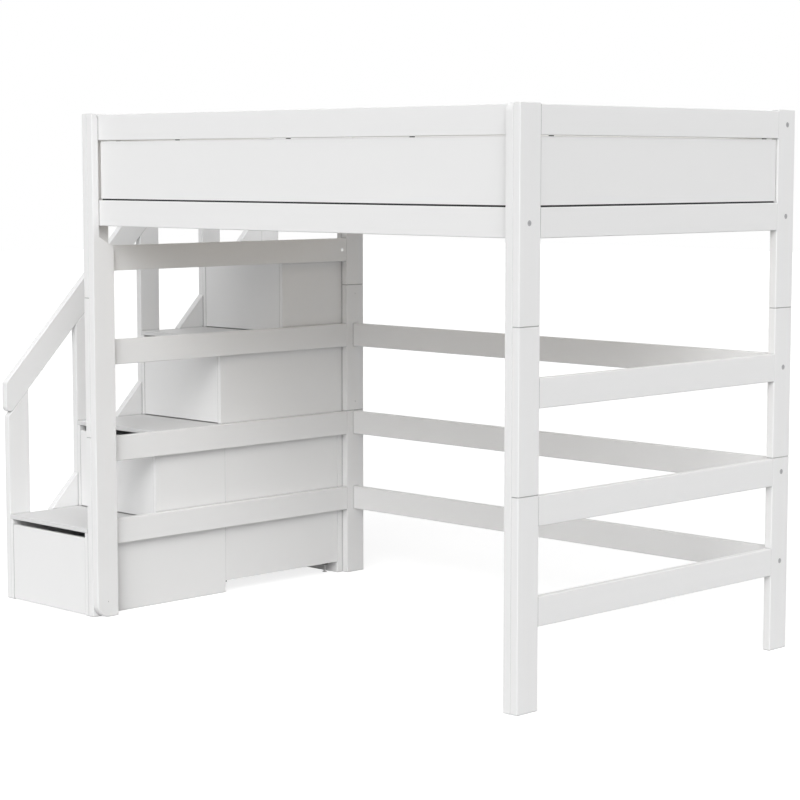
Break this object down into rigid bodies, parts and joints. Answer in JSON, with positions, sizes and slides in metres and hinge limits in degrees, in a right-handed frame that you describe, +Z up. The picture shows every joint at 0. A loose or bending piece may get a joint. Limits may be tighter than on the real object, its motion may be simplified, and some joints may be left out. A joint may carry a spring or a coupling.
{
  "type": "loft bed with stairs",
  "caption": "High sleeper bed with plank legs and guard panels around the mattress, and a drawer staircase with a sloping handrail at one end.",
  "frame": {"origin": "on the floor under the middle of the bounding box", "axes": "+X along the bed from the staircase to the free gable, +Y from the open front to the back, +Z up"},
  "size_m": [2.608, 1.378, 1.82],
  "materials": {
    "white_lacquer": "satin lacquer",
    "drawer_white": "satin lacquer",
    "plain_pine": "bare planed",
    "plain_beech": "bare turned",
    "bolt_zinc": "zinc plated",
    "nut_zinc": "zinc plated",
    "peg_dark": "moulded",
    "foot_grey": "moulded"
  },
  "bodies": {
    "bed_and_stair": {"bottom_leg_front_left": "white_lacquer", "bottom_leg_front_right": "white_lacquer", "bottom_leg_back_left": "white_lacquer", "bottom_leg_back_right": "white_lacquer", "middle_legs": "white_lacquer", "top_leg_front_left": "white_lacquer", "top_leg_front_right": "white_lacquer", "top_leg_back_left": "white_lacquer", "top_leg_back_right": "white_lacquer", "leg_dowels": "plain_beech", "front_plank_left": "white_lacquer", "front_plank_right": "white_lacquer", "gable_rails_left": "white_lacquer", "gable_rails_right": "white_lacquer", "tie_rail": "white_lacquer", "bed_rail_left": "white_lacquer", "bed_rail_right": "white_lacquer", "bed_rail_front": "white_lacquer", "bed_rail_back": "white_lacquer", "top_rail_left": "white_lacquer", "top_rail_right": "white_lacquer", "top_rail_front": "white_lacquer", "top_rail_back": "white_lacquer", "lower_back_rails": "white_lacquer", "entry_post": "white_lacquer", "guard_panel_front": "white_lacquer", "guard_panel_back": "white_lacquer", "guard_panel_right": "white_lacquer", "guard_panel_left": "white_lacquer", "panel_pegs": "peg_dark", "slat_ledges": "plain_pine", "slats": "plain_pine", "rail_bolts": "bolt_zinc", "barrel_nuts": "nut_zinc", "lower_unit_sides": "white_lacquer", "upper_unit_sides": "white_lacquer", "lower_unit_shelves": "white_lacquer", "upper_unit_shelves": "white_lacquer", "rear_case": "white_lacquer", "stair_back_board": "white_lacquer", "levelling_feet": "foot_grey", "tread_1": "white_lacquer", "tread_2": "white_lacquer", "tread_3": "white_lacquer", "tread_4": "white_lacquer", "stair_stiles": "white_lacquer", "newel_post": "white_lacquer", "handrail": "white_lacquer", "step_gussets": "white_lacquer", "platform_guard_rails": "white_lacquer", "platform_guard_panels": "white_lacquer"},
    "drawer_1": {"drawer_front_1": "white_lacquer", "drawer_box_1": "drawer_white"},
    "drawer_2": {"drawer_front_2": "white_lacquer", "drawer_box_2": "drawer_white"},
    "drawer_3": {"drawer_front_3": "white_lacquer", "drawer_box_3": "drawer_white"},
    "drawer_4": {"drawer_front_4": "white_lacquer", "drawer_box_4": "drawer_white"}
  },
  "joints": [
    {"name": "drawer_1_slide", "type": "slide", "parent": "bed_and_stair", "child": "drawer_1", "axis": [0, -1, 0], "range_m": [0, 0.45]},
    {"name": "drawer_2_slide", "type": "slide", "parent": "bed_and_stair", "child": "drawer_2", "axis": [0, -1, 0], "range_m": [0, 0.22]},
    {"name": "drawer_3_slide", "type": "slide", "parent": "bed_and_stair", "child": "drawer_3", "axis": [0, -1, 0], "range_m": [0, 0.45]},
    {"name": "drawer_4_slide", "type": "slide", "parent": "bed_and_stair", "child": "drawer_4", "axis": [0, -1, 0], "range_m": [0, 0.2]}
  ]
}
